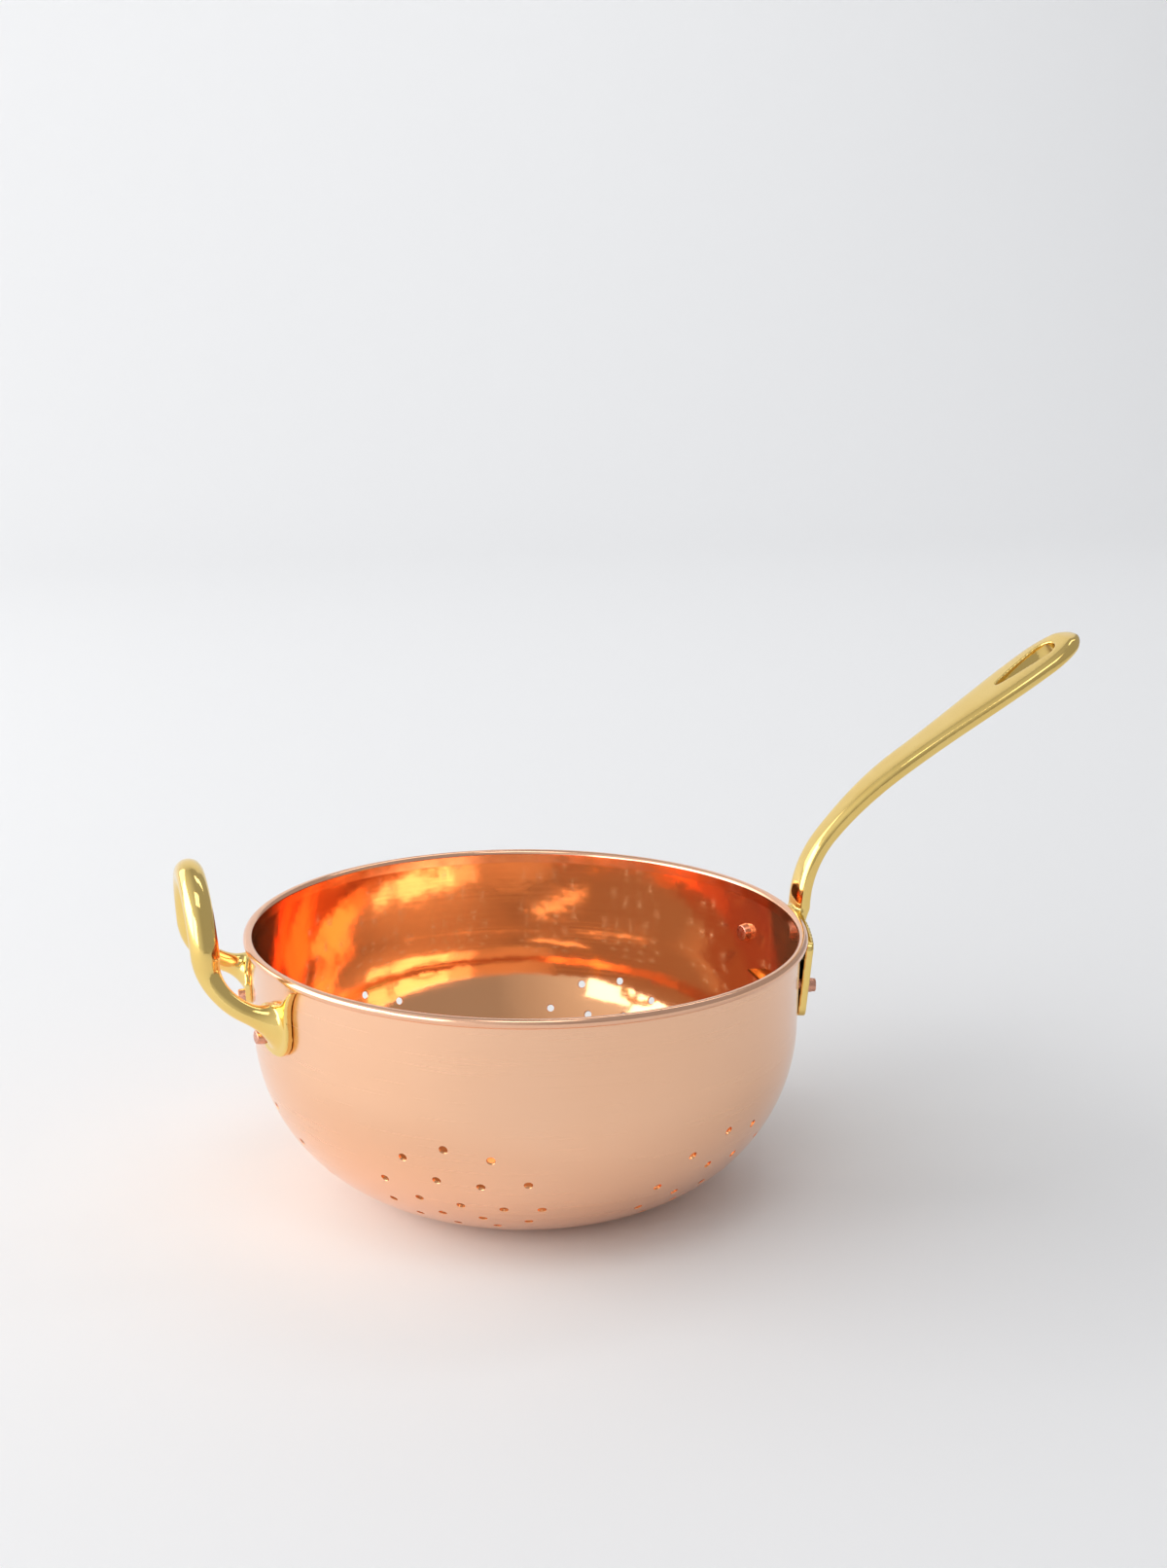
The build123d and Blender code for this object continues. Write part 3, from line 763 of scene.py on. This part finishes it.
# --- Loop handle --------------------------------------------------------------------------
# Cast brass, round in section: an upright loop whose two limbs turn in to the wall, flare like
# trumpets and end in leaf-shaped feet with their points under the rim. Two copper rivets hold it.
loop_radius = 5.85 * MM
loop_top = 152.2 * MM
loop_standoff = 21.7 * MM
loop_lean = 2.4 * MM
loop_spring = 118.0 * MM
loop_half_width = 25.5 * MM
stem_radius = 4.2 * MM
stem_height = 94.4 * MM
stem_spread = 33.6 * MM
stem_flare = 11.8 * MM
flare_run = 12.5 * MM
flare_power = 2.8
flare_squash = 0.15
stem_sag = 4.8 * MM
stem_lead = 40.0 * MM
stem_sink = 0.4
loop_seam = (1, 0, 0.35)
foot_gap = 0.1 * MM
foot_thickness = 3.1 * MM
foot_middle = (34.0 * MM, 89.0 * MM)
foot_points = (
    (34.0, 78.3), (40.5, 79.6), (45.0, 84.0), (46.0, 90.5), (45.6, 97.0), (46.9, 103.5), (50.0, 109.2),
    (46.4, 107.0), (41.5, 102.4), (35.0, 100.4), (27.0, 98.6), (20.8, 94.8), (18.8, 89.0), (20.6, 82.8),
    (26.6, 79.2),
)


def foot_outline():
    """Smooth outline through the foot's points: distance round the wall, and height."""
    outline = []
    count = len(foot_points)
    for index in range(count):
        before, start, end, after = (
            Vector(foot_points[(index + offset) % count]) for offset in (-1, 0, 1, 2)
        )
        for step in range(6):
            share = step / 6
            lean_in = (end - before) / 2
            lean_out = (after - start) / 2
            point = (
                start * (2 * share ** 3 - 3 * share ** 2 + 1)
                + lean_in * (share ** 3 - 2 * share ** 2 + share)
                + end * (3 * share ** 2 - 2 * share ** 3)
                + lean_out * (share ** 3 - share ** 2)
            )
            outline.append((point.x * MM, point.y * MM))
    return outline


def on_loop_side(spread, height, reach):
    """A point on the loop handle's side of the bowl, by its distance round the wall."""
    turn = spread / rim_radius
    return (-reach * cos(turn), -reach * sin(turn), height)


def foot_reach(height):
    """Radius of a foot's inner face."""
    return wall_reach(height) + foot_gap


def limb_stations():
    """Half of the loop's run, from its top to the -Y foot: place, radius and how far it flares."""
    reach = bead_outside + loop_standoff
    rise = loop_top - loop_radius - loop_spring
    stations = []
    for step in range(25):
        turn = radians(90 * step / 24)
        stations.append((
            Vector((
                loop_lean * (1 - cos(turn)) - reach, -loop_half_width * sin(turn),
                loop_spring + rise * cos(turn),
            )),
            loop_radius, 0.0,
        ))
    limb = stations[-1][0]
    stem_turn = stem_spread / rim_radius
    outward = Vector((-cos(stem_turn), -sin(stem_turn), 0))
    end = outward * (foot_reach(stem_height) + stem_sink * foot_thickness) + Vector((0, 0, stem_height))
    for step in range(1, 31):
        share = step / 30
        place = (
            limb * (2 * share ** 3 - 3 * share ** 2 + 1)
            + Vector((0, 0, -stem_lead)) * (share ** 3 - 2 * share ** 2 + share)
            + end * (3 * share ** 2 - 2 * share ** 3)
            - outward * stem_lead * (share ** 3 - share ** 2)
        )
        thinning = max(0.0, 1 - 2 * share) ** 2
        flaring = max(0.0, 1 - (place - end).dot(outward) / flare_run) ** flare_power
        size = stem_radius + (loop_radius - stem_radius) * thinning
        size += (stem_flare - stem_radius) * flaring
        stations.append((place, size, flaring))
    return stations


def loop_rings(count=40):
    """Round sections along the whole loop, from one foot to the other."""
    half = limb_stations()
    other = [
        (Vector((place.x, -place.y, place.z)), size, flaring)
        for place, size, flaring in half[:0:-1]
    ]
    whole = other + half
    rings = []
    side = Vector(loop_seam).normalized()
    for index, (place, size, flaring) in enumerate(whole):
        before = whole[max(index - 1, 0)][0]
        after = whole[min(index + 1, len(whole) - 1)][0]
        run = (after - before).normalized()
        side = (side - run * side.dot(run)).normalized()
        over = run.cross(side)
        ring = []
        for step in range(count):
            turn = 2 * pi * step / count
            spoke = side * cos(turn) + over * sin(turn) * (1 - flare_squash * flaring)
            ring.append(place + spoke * size - Vector((0, 0, stem_sag * flaring)))
        rings.append(ring)
    return rings


loop_build = bmesh.new()
add_loft(loop_build, loop_rings())
loop_handle = object_from(loop_build, "brass_loop_handle")
feet_build = bmesh.new()
for hand in (1, -1):
    outline = [(hand * across, height) for across, height in foot_outline()][::hand]
    middle = (hand * foot_middle[0], foot_middle[1])
    add_wrapped_plate(feet_build, outline, middle, foot_reach, foot_thickness, on_loop_side)
feet = object_from(feet_build, "feet")
merge(loop_handle, feet)
cast_smooth(loop_handle, cast_grain, cast_passes)
drill_rivets(loop_handle, "helper")
loop_handle.data.materials.clear()
loop_handle.data.materials.append(polished_brass)
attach(loop_handle, "root")
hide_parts("helper_handle")


# --- Rivets -------------------------------------------------------------------------------
# Solid copper rivets through the wall and the handles' feet: a broad button head inside the
# bowl, and a narrower button hammered up outside.
rivet_radius = 2.5 * MM
rivet_head = (4.1 * MM, 2.9 * MM, 0.5 * MM)
rivet_end = (3.2 * MM, 3.4 * MM, 0.35 * MM)


def button_run(start, radius, length, taper, hand):
    """Half section of a button: it narrows slightly outwards and its face is faintly domed."""
    edge = 0.6 * MM
    dome = 0.12 * MM
    run = [(radius, start)]
    shoulder = start + hand * (length - edge)
    for step in range(7):
        turn = radians(90 * step / 6)
        run.append((radius - taper - edge + edge * cos(turn), shoulder + hand * edge * sin(turn)))
    for share in (0.66, 0.33):
        crown = dome * (1 - share ** 2)
        run.append(((radius - taper - edge) * share, start + hand * (length + crown)))
    run.append((0.0, start + hand * (length + 0.13 * MM)))
    return run


rivet_copper = new_metal(
    "rivet_copper", ((0.80, 0.42, 0.30), (0.66, 0.30, 0.20)), (0.20, 0.38), (700, 700, 700),
    0.06 * MM, 3 * MM,
)
for node, turn, height in rivet_axes:
    outward = Vector((cos(turn), sin(turn), 0))
    if node.startswith("long"):
        seat = pad_reach(height) + pad_thickness
    else:
        seat = foot_reach(height) + foot_thickness
    inside = wall_reach(height) - wall
    head_radius, head_height, head_taper = rivet_head
    end_radius, end_height, end_taper = rivet_end
    half = button_run(inside, head_radius, head_height, head_taper, -1)[::-1]
    half += [(rivet_radius, inside), (rivet_radius, seat)]
    half += button_run(seat, end_radius, end_height, end_taper, 1)
    rivet = lathe("copper_" + node, [[(radius, along, 0, 0) for radius, along in half]], 40)
    to_axis = Vector((0, 0, 1)).rotation_difference(outward).to_matrix().to_4x4()
    rivet.data.transform(Matrix.Translation((0, 0, height)) @ to_axis)
    rivet.data.set_sharp_from_angle(angle=radians(40))
    rivet.data.materials.append(rivet_copper)
    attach(rivet, "root")
    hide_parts(node)


# --- Rim wire -----------------------------------------------------------------------------
# Steel wire closed to a ring, with the bowl's rim curled over it. It shows only as a thin line
# from below. The solid itself is shown, in a better steel.
wire_steel = new_metal(
    "wire_steel", ((0.56, 0.56, 0.57), (0.48, 0.47, 0.46)), (0.28, 0.42), (400, 400, 400),
    0.004 * MM, 6 * MM,
)
rim_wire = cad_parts["rim_wire"]
for steel_slot in rim_wire.material_slots:
    steel_slot.material = wire_steel
